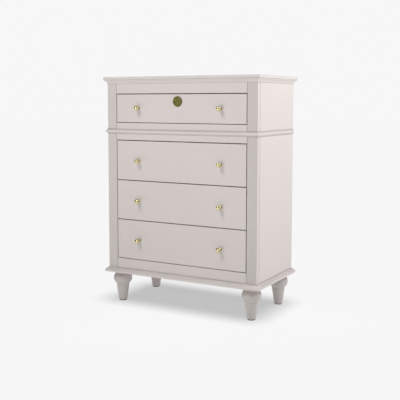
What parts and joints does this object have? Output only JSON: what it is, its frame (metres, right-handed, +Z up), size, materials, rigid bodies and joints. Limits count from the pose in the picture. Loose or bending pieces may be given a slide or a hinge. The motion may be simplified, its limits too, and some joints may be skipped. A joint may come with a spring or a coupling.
{
  "type": "chest of drawers",
  "caption": "Tall painted chest with one shallow drawer over deep drawers that slide on wooden runners, round brass knobs, mitred mouldings and turned tapered legs.",
  "frame": {"origin": "on the floor, under the middle of the overall box", "axes": "+Z up, the drawers open towards -Y, +X is the right side seen from the front"},
  "size_m": [0.882, 0.482, 1.17],
  "materials": {
    "painted_wood": "satin paint, pale blush grey",
    "raw_wood": "clear-sealed pale softwood",
    "panel_board": "smooth pale plywood",
    "brass": "polished",
    "antique_brass": "aged, dark olive",
    "steel": "zinc plated",
    "dark_plastic": "hard, matt"
  },
  "bodies": {
    "carcass": {"side_panel_left": "painted_wood", "side_panel_right": "painted_wood", "stile_left": "painted_wood", "stile_right": "painted_wood", "top_rail": "painted_wood", "waist_rail": "painted_wood", "bottom_rail": "painted_wood", "top_board": "painted_wood", "cornice_front": "painted_wood", "cornice_back": "painted_wood", "cornice_left": "painted_wood", "cornice_right": "painted_wood", "waist_moulding_front": "painted_wood", "waist_moulding_left": "painted_wood", "waist_moulding_right": "painted_wood", "base_board": "painted_wood", "back_panel": "panel_board", "leg_front_left": "painted_wood", "leg_front_right": "painted_wood", "leg_back_left": "painted_wood", "leg_back_right": "painted_wood", "leg_bolts": "steel", "foot_glides": "dark_plastic", "drawer_1_runners": "raw_wood", "drawer_2_runners": "raw_wood", "drawer_3_runners": "raw_wood", "drawer_4_runners": "raw_wood"},
    "drawer_1": {"drawer_1_front": "painted_wood", "drawer_1_side_left": "raw_wood", "drawer_1_side_right": "raw_wood", "drawer_1_back": "raw_wood", "drawer_1_bottom": "panel_board", "drawer_1_knob_left": "brass", "drawer_1_knob_right": "brass", "drawer_1_knob_screws": "steel", "medallion": "antique_brass"},
    "drawer_2": {"drawer_2_front": "painted_wood", "drawer_2_side_left": "raw_wood", "drawer_2_side_right": "raw_wood", "drawer_2_back": "raw_wood", "drawer_2_bottom": "panel_board", "drawer_2_knob_left": "brass", "drawer_2_knob_right": "brass", "drawer_2_knob_screws": "steel"},
    "drawer_3": {"drawer_3_front": "painted_wood", "drawer_3_side_left": "raw_wood", "drawer_3_side_right": "raw_wood", "drawer_3_back": "raw_wood", "drawer_3_bottom": "panel_board", "drawer_3_knob_left": "brass", "drawer_3_knob_right": "brass", "drawer_3_knob_screws": "steel"},
    "drawer_4": {"drawer_4_front": "painted_wood", "drawer_4_side_left": "raw_wood", "drawer_4_side_right": "raw_wood", "drawer_4_back": "raw_wood", "drawer_4_bottom": "panel_board", "drawer_4_knob_left": "brass", "drawer_4_knob_right": "brass", "drawer_4_knob_screws": "steel"}
  },
  "joints": [
    {"name": "drawer_1_slide", "type": "slide", "parent": "carcass", "child": "drawer_1", "axis": [0, -1, 0], "range_m": [0, 0.29]},
    {"name": "drawer_2_slide", "type": "slide", "parent": "carcass", "child": "drawer_2", "axis": [0, -1, 0], "range_m": [0, 0.29]},
    {"name": "drawer_3_slide", "type": "slide", "parent": "carcass", "child": "drawer_3", "axis": [0, -1, 0], "range_m": [0, 0.29]},
    {"name": "drawer_4_slide", "type": "slide", "parent": "carcass", "child": "drawer_4", "axis": [0, -1, 0], "range_m": [0, 0.29]}
  ]
}
